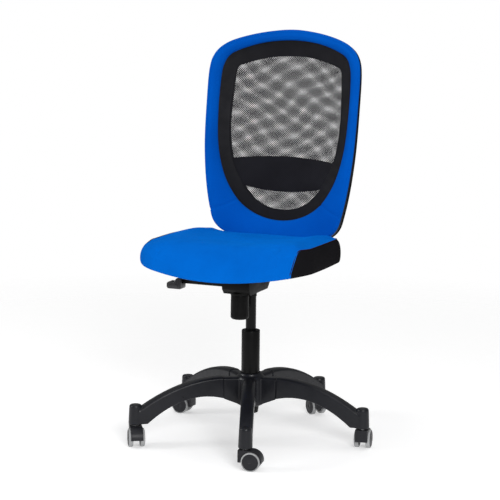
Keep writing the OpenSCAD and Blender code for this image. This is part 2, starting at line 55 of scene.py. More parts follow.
# ---- materials -----------------------------------------------------------
class Nodes:
    """Small helper that adds and links shader nodes."""

    def __init__(self, name):
        self.mat = bpy.data.materials.new(name)
        self.mat.use_nodes = True
        self.tree = self.mat.node_tree
        self.shader = self.tree.nodes["Principled BSDF"]
        self.coords = self.add("ShaderNodeTexCoord").outputs["Object"]

    def add(self, kind, **settings):
        node = self.tree.nodes.new(kind)
        for key, value in settings.items():
            setattr(node, key, value)
        return node

    def put(self, node, **values):
        for key, value in values.items():
            socket = node.inputs[key.replace("_", " ")]
            if isinstance(value, bpy.types.NodeSocket):
                self.tree.links.new(value, socket)
            else:
                socket.default_value = value
        return node

    def noise(self, scale, detail=2.0, rough=0.5, coords=None):
        node = self.add("ShaderNodeTexNoise")
        self.put(node, Vector=coords or self.coords, Scale=scale, Detail=detail, Roughness=rough)
        return node.outputs["Fac"]

    def span(self, fac, low, high, start=0.0, end=1.0):
        node = self.add("ShaderNodeMapRange")
        self.put(node, Value=fac, From_Min=start, From_Max=end, To_Min=low, To_Max=high)
        return node.outputs["Result"]

    def mix(self, fac, low, high):
        node = self.add("ShaderNodeMix", data_type="RGBA")
        self.tree.links.new(fac, node.inputs["Factor"])
        for index, value in ((6, low), (7, high)):
            if isinstance(value, bpy.types.NodeSocket):
                self.tree.links.new(value, node.inputs[index])
            else:
                node.inputs[index].default_value = (*value, 1)
        return node.outputs[2]

    def math(self, operation, a, b=0.0):
        node = self.add("ShaderNodeMath", operation=operation)
        for index, value in ((0, a), (1, b)):
            if isinstance(value, bpy.types.NodeSocket):
                self.tree.links.new(value, node.inputs[index])
            else:
                node.inputs[index].default_value = value
        return node.outputs[0]

    def bump(self, height, strength, distance):
        node = self.add("ShaderNodeBump")
        self.put(node, Strength=strength, Distance=distance, Height=height)
        return node.outputs["Normal"]

    def stretched(self, x, y, z, turn=(0, 0, 0)):
        node = self.add("ShaderNodeMapping")
        self.put(node, Vector=self.coords, Scale=(x, y, z), Rotation=turn)
        return node.outputs["Vector"]


def fabric(name, dark, light, thread=1.3, sheen=0.0, tint=(1, 1, 1)):
    """Close woven cloth: crossing threads as bump and colour, with slow shade variation."""
    rough = 0.85
    n = Nodes(name)
    waves = []
    for turn in ((0, 0.0, math.radians(45)), (0, 0.0, math.radians(-45))):
        wave = n.add("ShaderNodeTexWave", wave_type="BANDS", bands_direction="DIAGONAL")
        coords = n.stretched(1, 1, 1, turn)
        n.put(wave, Vector=coords, Scale=1.0 / (thread * MM * 3.2), Distortion=0.6,
              Detail=1.0, Detail_Scale=2.0)
        waves.append(wave.outputs["Fac"])
    weave = n.math("MULTIPLY", waves[0], waves[1])
    fuzz = n.noise(900, 4, 0.7)
    patches = n.noise(9, 3, 0.55)
    tone = n.math("ADD", n.math("MULTIPLY", weave, 0.25), n.math("MULTIPLY", fuzz, 0.35))
    tone = n.math("ADD", tone, n.math("MULTIPLY", patches, 0.4))
    colour = n.mix(n.span(tone, 0, 1, 0.25, 0.75), dark, light)
    height = n.math("ADD", weave, n.math("MULTIPLY", fuzz, 0.6))
    normal = n.bump(height, 0.35, 0.0006)
    n.put(n.shader, Base_Color=colour, Roughness=n.span(fuzz, rough - 0.08, rough + 0.08),
          Normal=normal)
    n.shader.inputs["Sheen Weight"].default_value = sheen
    n.shader.inputs["Sheen Roughness"].default_value = 0.45
    n.shader.inputs["Sheen Tint"].default_value = (*tint, 1)
    n.shader.inputs["Specular IOR Level"].default_value = 0.02
    return n.mat


def plastic(name, dark, light, rough, grain=1100, spec=0.5):
    """Moulded plastic: fine spark-eroded grain, faint flow shading and handling marks."""
    n = Nodes(name)
    fine = n.noise(grain, 3, 0.6)
    flow = n.noise(14, 3, 0.5)
    rubs = n.noise(60, 5, 0.65)
    tone = n.math("ADD", n.math("MULTIPLY", flow, 0.65), n.math("MULTIPLY", fine, 0.35))
    n.put(n.shader, Base_Color=n.mix(n.span(tone, 0, 1, 0.3, 0.7), dark, light),
          Roughness=n.span(rubs, rough - 0.07, rough + 0.09, 0.3, 0.7),
          Normal=n.bump(fine, 0.12, 0.0002))
    n.shader.inputs["Specular IOR Level"].default_value = spec
    return n.mat


def painted(name, dark, light, rough):
    """Powder coat on steel: orange-peel bump under a soft gloss."""
    n = Nodes(name)
    peel = n.noise(420, 2, 0.5)
    cloud = n.noise(20, 3, 0.5)
    n.put(n.shader, Base_Color=n.mix(cloud, dark, light),
          Roughness=n.span(cloud, rough - 0.05, rough + 0.08, 0.3, 0.7),
          Normal=n.bump(peel, 0.15, 0.0003))
    n.shader.inputs["Specular IOR Level"].default_value = 0.12
    return n.mat


def zinc(name):
    """Plated steel with fine turning marks."""
    n = Nodes(name)
    marks = n.noise(300, 4, 0.6, n.stretched(1, 1, 12))
    n.put(n.shader, Base_Color=n.mix(marks, (0.42, 0.42, 0.43), (0.62, 0.62, 0.64)),
          Roughness=n.span(marks, 0.25, 0.42), Normal=n.bump(marks, 0.1, 0.0002))
    n.shader.inputs["Metallic"].default_value = 1.0
    return n.mat


def rubber(name):
    """Soft grey tread with floor scuffs."""
    n = Nodes(name)
    dust = n.noise(160, 5, 0.7)
    patch = n.noise(25, 3, 0.5)
    colour = n.mix(n.span(patch, 0, 1, 0.35, 0.65), (0.27, 0.275, 0.28), (0.36, 0.365, 0.37))
    colour = n.mix(n.span(dust, 0, 0.5, 0.52, 0.75), colour, (0.46, 0.46, 0.45))
    n.put(n.shader, Base_Color=colour, Roughness=n.span(dust, 0.55, 0.75),
          Normal=n.bump(dust, 0.12, 0.0003))
    return n.mat


BLUE = fabric("seat_fabric", (0.0, 0.098, 0.47), (0.0, 0.165, 0.72), sheen=0.2,
              tint=(0.0, 0.3, 1.0))
BACK_BLUE = fabric("back_fabric", (0.0, 0.070, 0.40), (0.0, 0.115, 0.58), sheen=0.15,
                   tint=(0.0, 0.3, 1.0))
PIPING = fabric("seam_cord", (0.018, 0.006, 0.006), (0.04, 0.014, 0.012), thread=0.8)
BLACK_CLOTH = fabric("black_fabric", (0.005, 0.005, 0.006), (0.014, 0.013, 0.015))
LUMBAR_CLOTH = fabric("lumbar_fabric", (0.008, 0.008, 0.011), (0.022, 0.022, 0.028))
NET = plastic("net_yarn", (0.006, 0.006, 0.008), (0.014, 0.014, 0.018), rough=0.6, grain=1500,
              spec=0.12)
BASE_PLASTIC = plastic("base_plastic", (0.007, 0.0075, 0.010), (0.012, 0.0125, 0.016),
                       rough=0.34, spec=0.26)
WHEEL_PLASTIC = plastic("wheel_plastic", (0.010, 0.0105, 0.013), (0.016, 0.0165, 0.020),
                        rough=0.42, spec=0.25)
KNOB_PLASTIC = plastic("knob_plastic", (0.003, 0.003, 0.003), (0.006, 0.006, 0.006),
                       rough=0.36, spec=0.10)
PADDLE_PLASTIC = plastic("paddle_plastic", (0.02, 0.02, 0.022), (0.035, 0.035, 0.038), rough=0.3)
FRAME_PLASTIC = plastic("frame_plastic", (0.005, 0.005, 0.006), (0.009, 0.009, 0.011),
                        rough=0.5, spec=0.12)
BUSH_PLASTIC = plastic("bush_plastic", (0.004, 0.004, 0.004), (0.008, 0.008, 0.008),
                       rough=0.45, spec=0.12)
COLUMN_PAINT = painted("column_paint", (0.002, 0.002, 0.002), (0.005, 0.005, 0.005), rough=0.3)
MECH_PAINT = painted("mechanism_paint", (0.004, 0.004, 0.004), (0.008, 0.008, 0.008), rough=0.4)
STEEL = zinc("zinc_steel")
TREAD = rubber("grey_tread")

NODE_LOOK = {
    "column_outer_tube": COLUMN_PAINT, "column_gas_spring": COLUMN_PAINT,
    "column_guide_bush": BUSH_PLASTIC, "column_piston_rod": STEEL, "column_release_pin": STEEL,
    "tilt_housing": MECH_PAINT, "mechanism_pins": STEEL, "tension_knob": KNOB_PLASTIC,
    "tension_nut": STEEL, "tension_spring": STEEL, "lever_pivot_bush": BUSH_PLASTIC,
    "height_lever": MECH_PAINT, "lever_paddle": PADDLE_PLASTIC, "seat_carrier": MECH_PAINT,
    "seat_shell": BUSH_PLASTIC, "back_bracket": MECH_PAINT, "back_frame": FRAME_PLASTIC,
    "base_hub": BASE_PLASTIC, "screws": STEEL,
}


def dress_node(name, material, bevel=0.0, segments=3):
    """Material, rounded edges and smooth shading on a CAD node that stays in view."""
    node = frame["nodes"][name]
    node.data.materials.clear()
    node.data.materials.append(material)
    for polygon in node.data.polygons:
        polygon.use_smooth = True
    if bevel:
        weld = node.modifiers.new("weld", "WELD")
        weld.merge_threshold = 0.00002
        edge = node.modifiers.new("edges", "BEVEL")
        edge.width = bevel * MM
        edge.segments = segments
        edge.limit_method = "ANGLE"
        edge.angle_limit = math.radians(34)
        edge.harden_normals = False
    else:
        node.data.set_sharp_from_angle(angle=math.radians(34))


# ---- mesh helpers --------------------------------------------------------
def piece(name, verts, faces, material, body, slot=None, replaces=(), smooth=True):
    """Mesh piece from points in millimetres, riding on a body."""
    mesh = bpy.data.meshes.new(name)
    mesh.from_pydata([tuple(float(c) * MM for c in v) for v in verts], [], faces)
    mesh.update()
    obj = bpy.data.objects.new(name, mesh)
    bpy.context.scene.collection.objects.link(obj)
    mesh.materials.append(material)
    for polygon in mesh.polygons:
        polygon.use_smooth = smooth
    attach(obj, body)
    if replaces:
        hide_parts(*replaces)
    return obj


def apply_modifiers(obj):
    """Leaves the evaluated mesh in place of the modifiers."""
    bpy.context.view_layer.update()
    evaluated = obj.evaluated_get(bpy.context.evaluated_depsgraph_get())
    mesh = bpy.data.meshes.new_from_object(evaluated)
    obj.modifiers.clear()
    obj.data = mesh
    return obj


def grid_faces(rows, cols, wrap_cols=True, wrap_rows=False):
    """Quads over rows of points, closed round the columns or the rows where asked."""
    last_row = rows if wrap_rows else rows - 1
    last_col = cols if wrap_cols else cols - 1
    return [(j * cols + i, j * cols + (i + 1) % cols,
             (j + 1) % rows * cols + (i + 1) % cols, (j + 1) % rows * cols + i)
            for j in range(last_row) for i in range(last_col)]


def lathe(profile, steps=96):
    """Closed solid of revolution about Z from a closed (radius, height) profile."""
    angles = [2 * math.pi * i / steps for i in range(steps)]
    verts = [(r * math.cos(a), r * math.sin(a), z) for r, z in profile for a in angles]
    return verts, grid_faces(len(profile), steps, wrap_rows=True)


def tube_along(points, radius, sides=8):
    """Round cord along a line of points, with capped ends."""
    points = np.array(points, float)
    ahead = np.roll(points, -1, 0) - points
    behind = points - np.roll(points, 1, 0)
    ahead[-1], behind[0] = behind[-1], ahead[0]
    tangent = ahead + behind
    tangent /= np.linalg.norm(tangent, axis=1)[:, None]
    side = np.cross(tangent, (0.3, 0.2, 0.93))
    side /= np.linalg.norm(side, axis=1)[:, None]
    up = np.cross(side, tangent)
    turns = [2 * math.pi * k / sides for k in range(sides)]
    verts = np.array([points + radius * (math.cos(a) * side + math.sin(a) * up) for a in turns])
    faces = grid_faces(len(points), sides)
    last = (len(points) - 1) * sides
    faces.append(tuple(range(sides)))
    faces.append(tuple(range(last + sides - 1, last - 1, -1)))
    return verts.transpose(1, 0, 2).reshape(-1, 3), faces


def smoothstep(t):
    t = np.clip(t, 0, 1)
    return t * t * (3 - 2 * t)


# ---- base ----------------------------------------------------------------
STAR = [math.degrees(math.atan2(joint_point(f"caster_{k}_swivel")[1],
                                joint_point(f"caster_{k}_swivel")[0])) for k in CASTERS]
STEM_R = float(np.linalg.norm(joint_point("caster_1_swivel")[:2]))
LEG_HALF = 17.5
HUB_R = 79.0


def leg_top(r):
    return 176.5 - 0.00147 * (r - 83) ** 2


def leg_under(r):
    return max(59.0, 125 - 0.00268 * (r - 133) ** 2)


def leg_section(half, low, high):
    """Section of a leg: crisp lower edges, flat sides, a crowned top with soft shoulders."""
    points = []
    edge, shoulder = 1.6, half * 0.72
    crown = 0.5 * shoulder
    for a in np.linspace(180, 270, 4):
        points.append((-half + edge + edge * math.cos(math.radians(a)),
                       low + edge + edge * math.sin(math.radians(a))))
    for a in np.linspace(270, 360, 4):
        points.append((half - edge + edge * math.cos(math.radians(a)),
                       low + edge + edge * math.sin(math.radians(a))))
    for share in (0.35, 0.7):
        points.append((half, low + (high - crown - low) * share))
    for a in np.linspace(0, 90, 9):
        points.append((half - shoulder + shoulder * math.cos(math.radians(a)),
                       high - crown + crown * math.sin(math.radians(a))))
    for a in np.linspace(90, 180, 9):
        points.append((-half + shoulder + shoulder * math.cos(math.radians(a)),
                       high - crown + crown * math.sin(math.radians(a))))
    for share in (0.7, 0.35):
        points.append((-half, low + (high - crown - low) * share))
    return points


def loft(rings):
    """Closed solid through rings of equal length."""
    cols = len(rings[0])
    verts = [p for ring in rings for p in ring]
    faces = grid_faces(len(rings), cols)
    faces.append(tuple(range(cols - 1, -1, -1)))
    faces.append(tuple(range((len(rings) - 1) * cols, len(rings) * cols)))
    return verts, faces


def joined(parts):
    """One list of points and faces from several."""
    verts, faces = [], []
    for part_verts, part_faces in parts:
        start = len(verts)
        verts += [tuple(v) for v in part_verts]
        faces += [tuple(i + start for i in f) for f in part_faces]
    return verts, faces


def moulded(name, parts, voxel, rounds, material, body, slot, replaces):
    """One moulded skin over overlapping solids, with softened inner corners."""
    verts, faces = joined(parts)
    obj = piece(name, verts, faces, material, body, slot, replaces)
    remesh = obj.modifiers.new("remesh", "REMESH")
    remesh.mode = "VOXEL"
    remesh.voxel_size = voxel * MM
    soften = obj.modifiers.new("soften", "SMOOTH")
    soften.factor = 0.5
    soften.iterations = rounds
    apply_modifiers(obj)
    for polygon in obj.data.polygons:
        polygon.use_smooth = True
    return obj


def turned(points, degrees, shift=(0, 0, 0)):
    c, s = math.cos(math.radians(degrees)), math.sin(math.radians(degrees))
    return [(x * c - y * s + shift[0], x * s + y * c + shift[1], z + shift[2])
            for x, y, z in points]


def make_leg(k):
    heading = STAR[k - 1]
    arch = loft([[(r, a, b) for a, b in leg_section(LEG_HALF, leg_under(r), leg_top(r))]
                 for r in np.linspace(HUB_R, STEM_R - 6, 40)])
    socket = lathe([(0.01, 57.5), (17.6, 57.5), (18.6, 58.0), (18.9, 59.5), (18.2, 80),
                    (17.1, 104), (16.6, 108), (15.3, 110.8), (12.5, 112), (0.01, 112)], 64)
    socket = ([(x + STEM_R, y, z) for x, y, z in socket[0]], socket[1])
    parts = [(turned(v, heading), f) for v, f in (arch, socket)]
    moulded(f"leg_{k}_skin", parts, 1.5, 4, BASE_PLASTIC, "base", "base_plastic", [f"leg_{k}"])


def make_hub():
    half = LEG_HALF - 0.9
    core = lathe([(25.3, 93), (31, 93), (36, 96), (39, 104), (40, 115), (40, 168), (37, 174),
                  (32.5, 177.5), (31.5, 181.5), (30.3, 183.3), (28, 184), (25.3, 184)], 96)
    parts = [core]
    for heading in STAR:
        rings = []
        for r in np.linspace(27, HUB_R - 0.6, 12):
            low = 94 + (r - 26) * 0.42
            high = 173 + (r - 26) * 0.04
            rings.append([(r, a, b) for a, b in leg_section(half, low, high)])
        verts, faces = loft(rings)
        parts.append((turned(verts, heading), faces))
    moulded("base_hub_skin", parts, 1.5, 6, BASE_PLASTIC, "base", "base_plastic", ["base_hub"])


# ---- casters -------------------------------------------------------------
WEB = 9.75
WHEEL_W = 12.5
DISC_R = 17.3
FLANGE_R = 21.2


def wheel_frame(k, side):
    """Row points from points with the axle along Z, the outer face up."""
    joint = JOINTS[f"caster_{k}_{side}_roll"]
    axis = np.array(joint["axis"], float) * (1 if side == "left" else -1)
    centre = np.array(joint["pos_m"]) / MM
    up = np.array((0.0, 0.0, 1.0))
    across = np.cross(up, axis)
    return lambda pts: [tuple(centre + p[0] * across + p[1] * up + p[2] * axis) for p in pts]


def make_wheel(k, side):
    place = wheel_frame(k, side)
    out = WEB + WHEEL_W
    disc = lathe([(3.1, WEB), (DISC_R - 1.2, WEB), (DISC_R - 0.2, WEB + 1),
                  (DISC_R - 0.2, out - 1.9), (FLANGE_R - 0.6, out - 1.9), (FLANGE_R, out - 1.4),
                  (FLANGE_R - 0.2, out - 0.6), (FLANGE_R - 1.0, out - 0.1),
                  (FLANGE_R - 2.4, out), (FLANGE_R - 3.4, out - 0.5), (FLANGE_R - 4.4, out - 0.6),
                  (FLANGE_R - 5.6, out - 0.2), (8.0, out + 0.25), (0.02, out + 0.45),
                  (0.02, out - 2.5), (3.1, out - 2.5)])
    tread = lathe([(DISC_R, WEB), (21.6, WEB), (24.0, WEB + 0.5), (24.8, WEB + 1.6),
                   (25.0, WEB + 3.2), (25.0, out - 4.2), (24.8, out - 2.6), (24.2, out - 1.5),
                   (23.2, out - 0.8), (22.2, out - 0.6), (21.6, out - 1.0), (21.2, out - 2.1),
                   (DISC_R, out - 2.1)])
    body = f"caster_{k}_{side}"
    piece(f"caster_{k}_disc_{side}", place(disc[0]), disc[1], WHEEL_PLASTIC, body,
          "wheel_plastic", [f"caster_{k}_wheel_{side}"])
    piece(f"caster_{k}_tread_{side}", place(tread[0]), tread[1], TREAD, body,
          "tread", [f"caster_{k}_tyre_{side}"])


# ---- seat ----------------------------------------------------------------
FRONT_R, FRONT_C = 92.0, (150.0, -165.0)
REAR_R, REAR_C = 40.0, (165.0, 127.0)
BOW_R, BOW_C = 700.0, (0.0, 425.0)
BOW_HALF = math.degrees(math.atan2(FRONT_C[0], BOW_C[1] - FRONT_C[1]))
SEAT_COLS = 320
DISH_R = 1200.0
SHELL_TOP = 484.3
SHELL_INSET = 27.0
HALF_W = 230.0
EDGE_Z, SEAM_Z = 474.0, 551.4
TOP_Z, TOP_FALL, HOLLOW = 545.0, 0.066, 12.0
FRONT_CROWN, REAR_CROWN = 561.0, 541.0
CENTRE_Y = -40.0


def dense_plan():
    """Outline points and outward normals from the middle of the back, clockwise from above."""
    points, normals = [], []
    for angle in np.arange(90.0, -270.0, -0.5):
        away = abs((angle + 270) % 360 - 180)
        a = math.radians(angle)
        side = 1 if math.cos(a) >= 0 else -1
        (cx, cy), radius = (BOW_C, BOW_R) if away < BOW_HALF else (
            (FRONT_C, FRONT_R) if away < 97.3 else (REAR_C, REAR_R))
        points.append((cx * side + radius * math.cos(a), cy + radius * math.sin(a)))
        normals.append((math.cos(a), math.sin(a)))
    middle = (0.0, REAR_C[1] + REAR_R)
    points = np.array([middle] + points + [middle])
    normals = np.array([(0.0, 1.0)] + normals + [(0.0, 1.0)])
    steps = np.linalg.norm(np.diff(points, axis=0), axis=1)
    return points, normals, np.concatenate([[0], np.cumsum(steps)])


PLAN, PLAN_N, PLAN_S = dense_plan()
PLAN_LEN = PLAN_S[-1]


def plan_at(s, inset):
    """Plan points at arc positions s, moved in by inset."""
    s = np.mod(s, PLAN_LEN)
    at = [np.interp(s, PLAN_S, PLAN[:, i]) for i in (0, 1)]
    normal = [np.interp(s, PLAN_S, PLAN_N[:, i]) for i in (0, 1)]
    return at[0] - inset * normal[0], at[1] - inset * normal[1]


def arc_of(x, y):
    return float(PLAN_S[np.argmin(np.hypot(PLAN[:, 0] - x, PLAN[:, 1] - y))])


def dish(x):
    return x ** 2 / (2 * DISH_R)


def lower_edge(x, y):
    """Height of the cover's lower edge: it rises to the sides, most at the front."""
    return EDGE_Z + (x / HALF_W) ** 2 * (17 - 0.05 * (y + 64))


def seam_height(x, y):
    """Height of the seam along the top edge: it falls to the back, later on the right."""
    right = 5 * np.exp(-((y + 30) / 95) ** 2) - 9 * smoothstep((y - 20) / 150)
    return SEAM_Z - 0.032 * (1 + x / 220) * y + right * smoothstep(-x / 100)


def top_height(x, y):
    """Seat surface away from the edges: falls to the back and is hollow across."""
    return TOP_Z - TOP_FALL * y + HOLLOW * smoothstep(np.abs(x) / 205)


# (inset, share of the height from the lower edge to the seam) up the wall and over the rim;
# the front and the rear are softer than the sides
WALL_SIDE = [(8, 0.0), (3.5, 0.012), (1.2, 0.06), (0, 0.17), (-0.8, 0.34), (-0.6, 0.52),
             (0.6, 0.68), (2.8, 0.82), (5.8, 0.92), (10, 1.0), (14, 1.045), (20, 1.085),
             (29, 1.12), (38, 1.14)]
WALL_FRONT = [(8, 0.0), (3.5, 0.012), (1.2, 0.06), (0, 0.14), (-0.3, 0.25), (0.8, 0.38),
              (3.2, 0.50), (7.2, 0.61), (13, 0.71), (20.5, 0.795), (29, 0.86), (39, 0.915),
              (50, 0.955), (62, 0.985)]
WALL_REAR = [(8, 0.0), (3.5, 0.012), (1.2, 0.06), (0, 0.15), (-0.4, 0.28), (0.6, 0.43),
             (2.6, 0.56), (6.0, 0.68), (10.5, 0.785), (16, 0.865), (21.5, 0.92), (28, 0.96),
             (33.5, 0.985), (38, 1.0)]
SEAM_ROW = 9
# where the side seams end, back and front, and how far the soft front runs past them
SEAM_ENDS = {"left": ((150.0, 167.0), (203.0, -241.0)),
             "right": ((-188.0, 132.0), (-233.0, -200.0))}
FRONT_REACH = (6, 48)
FRONT_BLEND, REAR_BLEND = 85, 60
SEAM_LEAN, LEAN_SPAN = 22, 62


def seat_grid():
    """Rows of points round the cushion, from the middle of its underside to the middle of its
    top, with the rows of the wall and the seam's columns."""
    s_cols = np.arange(SEAT_COLS) * PLAN_LEN / SEAT_COLS
    seam_cols = {}
    for side, ends in SEAM_ENDS.items():
        seam_cols[side] = sorted(int(round(arc_of(*end) / PLAN_LEN * SEAT_COLS)) for end in ends)
    fronts = (seam_cols["left"][1], seam_cols["right"][0])
    backs = (seam_cols["left"][0], seam_cols["right"][1])

    def columns(share):
        """Arc positions of the columns at a height: the seams lean and round off on top."""
        s = s_cols.copy()
        lean = SEAM_LEAN * np.interp(share, (0, 0.55, 0.9, 1.0, 1.09), (0, 0.5, 0.95, 1.5, 1.8))
        for col, way in ((fronts[0], -1), (fronts[1], 1), (backs[0], 0.6), (backs[1], -0.6)):
            apart = (s_cols - s_cols[col] + PLAN_LEN / 2) % PLAN_LEN - PLAN_LEN / 2
            s += way * lean * np.exp(-(apart / LEAN_SPAN) ** 2)
        return s

    # how much of the front's and the rear's section each column takes
    front_s = PLAN_S[np.argmin(PLAN[:, 1])]
    on_left = s_cols < front_s
    to_front = np.abs(s_cols - front_s)
    edge = np.where(on_left, *(abs(s_cols[col] - front_s) for col in fronts))
    front = smoothstep((edge + np.where(on_left, *FRONT_REACH) - to_front) / FRONT_BLEND)
    to_back = np.minimum(s_cols, PLAN_LEN - s_cols)
    edge = np.where(on_left, s_cols[backs[0]], PLAN_LEN - s_cols[backs[1]])
    rear = smoothstep((edge + 4 - to_back) / REAR_BLEND)

    rows = []
    shell_x, shell_y = plan_at(s_cols, SHELL_INSET + 1)
    for t in (0.03, 0.2, 0.4, 0.6, 0.8, 0.93, 1.0):
        x, y = shell_x * t, CENTRE_Y + (shell_y - CENTRE_Y) * t
        rows.append(np.stack([x, y, SHELL_TOP + dish(x)], 1))
    x, y = plan_at(s_cols, SHELL_INSET - 1)
    rows.append(np.stack([x, y, SHELL_TOP + dish(x) - 0.3], 1))
    for inset, lift in ((SHELL_INSET - 2, 3.0), (SHELL_INSET - 6, 0.8), (14, 0.2)):
        x, y = plan_at(s_cols, inset)
        low = lower_edge(*plan_at(s_cols, 4)) + lift
        rows.append(np.stack([x, y, np.minimum(low, SHELL_TOP + dish(x) - 0.8)], 1))
    wall_start = len(rows)
    for side_key, front_key, rear_key in zip(WALL_SIDE, WALL_FRONT, WALL_REAR):
        s = columns(side_key[1])
        inset, share = (side_key[i] + (front_key[i] - side_key[i]) * front
                        + (rear_key[i] - side_key[i]) * rear for i in (0, 1))
        x, y = plan_at(s, inset)
        ex, ey = plan_at(s, 4)
        low = lower_edge(ex, ey)
        seam = seam_height(ex, ey)
        high = seam + (FRONT_CROWN - seam) * front + (REAR_CROWN - seam) * rear
        rows.append(np.stack([x, y, low + (high - low) * share], 1))
    rim_row = rows[-1]
    for t in (0.955, 0.9, 0.84, 0.77, 0.69, 0.61, 0.52, 0.43, 0.34, 0.25, 0.16, 0.08, 0.02):
        x, y = rim_row[:, 0] * t, CENTRE_Y + (rim_row[:, 1] - CENTRE_Y) * t
        blend = smoothstep((1 - t) / 0.30)
        flat = rim_row[:, 2] + (t - 1) * 4
        rows.append(np.stack([x, y, flat + (top_height(x, y) - flat) * blend], 1))
    return np.array(rows), wall_start, seam_cols


def capped(shift, cap):
    length = np.linalg.norm(shift, axis=1)[:, None]
    return shift * (cap * np.tanh(length / cap) / np.maximum(length, 1e-9))


def coords(obj):
    data = np.empty(len(obj.data.vertices) * 3)
    obj.data.vertices.foreach_get("co", data)
    return data.reshape(-1, 3)


def set_coords(obj, points):
    obj.data.vertices.foreach_set("co", np.ascontiguousarray(points).ravel())
    obj.data.update()


def normals_of(obj):
    data = np.empty(len(obj.data.vertices) * 3)
    obj.data.vertex_normals.foreach_get("vector", data)
    return data.reshape(-1, 3)


def inflate(obj, hold, cap, pressure=4.0, frames=20):
    """Cloth simulation of a stuffed cover: hold is how firmly each point stays, 0 to 1, and
    no point moves further than cap millimetres."""
    start = coords(obj)
    group = obj.vertex_groups.new(name="hold")
    for index, weight in enumerate(hold):
        if weight > 0:
            group.add([index], float(weight), "REPLACE")
    cloth = obj.modifiers.new("cloth", "CLOTH")
    cloth.settings.quality = 6
    cloth.settings.mass = 0.25
    cloth.settings.tension_stiffness = 18
    cloth.settings.compression_stiffness = 14
    cloth.settings.shear_stiffness = 8
    cloth.settings.bending_stiffness = 1.5
    cloth.settings.vertex_group_mass = "hold"
    cloth.settings.pin_stiffness = 1.0
    cloth.settings.use_pressure = True
    cloth.settings.uniform_pressure_force = pressure
    cloth.settings.effector_weights.gravity = 0
    cloth.collision_settings.use_collision = False
    cloth.point_cache.frame_start = 1
    cloth.point_cache.frame_end = frames
    for number in range(1, frames + 1):
        bpy.context.scene.frame_set(number)
    evaluated = obj.evaluated_get(bpy.context.evaluated_depsgraph_get())
    moved = np.empty(len(start) * 3)
    evaluated.data.vertices.foreach_get("co", moved)
    obj.modifiers.remove(cloth)
    bpy.context.scene.frame_set(1)
    free = (1 - np.asarray(hold))[:, None]
    set_coords(obj, start + capped(moved.reshape(-1, 3) - start, cap * MM) * free)


def subdivide(obj, levels=1):
    smooth = obj.modifiers.new("subdivision", "SUBSURF")
    smooth.levels = smooth.render_levels = levels
    apply_modifiers(obj)
    for polygon in obj.data.polygons:
        polygon.use_smooth = True


def refined(rows):
    """Twice as many rows and columns, through the same points, columns closed."""
    def halfway(a, b, c, d):
        return (9 * (b + c) - a - d) / 16
    cols = np.empty((len(rows), rows.shape[1] * 2, 3))
    cols[:, ::2] = rows
    cols[:, 1::2] = halfway(np.roll(rows, 1, 1), rows, np.roll(rows, -1, 1), np.roll(rows, -2, 1))
    padded = np.concatenate([cols[:1], cols, cols[-1:]])
    result = np.empty((len(rows) * 2 - 1, cols.shape[1], 3))
    result[::2] = cols
    result[1::2] = halfway(padded[:-3], padded[1:-2], padded[2:-1], padded[3:])
    return result


def capped_faces(count, cols):
    """Faces over rows that close to a small ring at either end."""
    faces = [f[::-1] for f in grid_faces(count, cols)]
    faces.append(tuple(range(cols)))
    faces.append(tuple(range(count * cols - 1, (count - 1) * cols - 1, -1)))
    return faces


def make_side(side, cols, wall, points, normals):
    """Black side panel lying on the cover's wall, and the piping round it."""
    seam_row = wall + SEAM_ROW
    path = ([(r, cols[0]) for r in range(wall, seam_row)] + [(seam_row, c) for c in cols]
            + [(r, cols[-1]) for r in range(seam_row - 1, wall - 1, -1)])
    line = np.array([points[p] + normals[p] * 0.35 for p in path])
    for _ in range(3):
        line[1:-1] = (line[:-2] + 2 * line[1:-1] + line[2:]) / 4
    rise = seam_row - wall
    rows = range(wall - 1, seam_row + 1)
    skin = np.array([points[r, cols] + normals[r, cols] * 0.9 for r in rows])
    skin[1:, 0] = line[:rise + 1]
    skin[1:, -1] = line[::-1][:rise + 1]
    skin[-1] = line[rise:rise + len(cols)]
    back = skin - np.array([normals[r, cols] * 1.3 for r in rows])

    height, width = skin.shape[:2]
    lower = height * width
    outer = [f[::-1] for f in grid_faces(height, width, wrap_cols=False)]
    inner = [tuple(i + lower for i in f[::-1]) for f in outer]
    ids = ([c for c in range(width)] + [r * width + width - 1 for r in range(1, height)]
           + [(height - 1) * width + c for c in range(width - 2, -1, -1)]
           + [r * width for r in range(height - 2, 0, -1)])
    rim = [(a, b, b + lower, a + lower) for a, b in zip(ids, ids[1:] + ids[:1])]
    verts = np.concatenate([skin.reshape(-1, 3), back.reshape(-1, 3)])
    panel = piece(f"seat_side_{side}", verts, outer + inner + rim, BLACK_CLOTH, "seat",
                  "black_fabric")
    subdivide(panel)
    cord, cord_faces = tube_along(line, 1.25)
    piece(f"seat_piping_{side}", cord, cord_faces, PIPING, "seat", "black_fabric")


def make_seat():
    """Stuffed cover, swollen by simulation, then its side panels and piping."""
    rows, wall, seams = seat_grid()
    count = len(rows)
    blank = piece("seat_cover_blank", rows.reshape(-1, 3), capped_faces(count, SEAT_COLS), BLUE,
                  "seat")
    hold = np.zeros((count, SEAT_COLS))
    hold[:wall + 1] = 1
    hold[wall + 1] = 0.7
    seam_row = wall + SEAM_ROW
    for first, last in seams.values():
        hold[seam_row, first:last + 1] = 0.9
        hold[wall:seam_row + 1, first] = hold[wall:seam_row + 1, last] = 0.9
    inflate(blank, hold.ravel(), cap=6.0)
    points = (coords(blank) / MM).reshape(count, SEAT_COLS, 3)
    normals = normals_of(blank).reshape(count, SEAT_COLS, 3)
    for side, (first, last) in seams.items():
        make_side(side, np.arange(first, last + 1), wall, points, normals)
    fine = refined(points)
    cover = piece("seat_cushion_cover", fine.reshape(-1, 3), capped_faces(*fine.shape[:2]), BLUE,
                  "seat", "blue_fabric", ["seat_cushion"])
    bpy.data.objects.remove(blank)


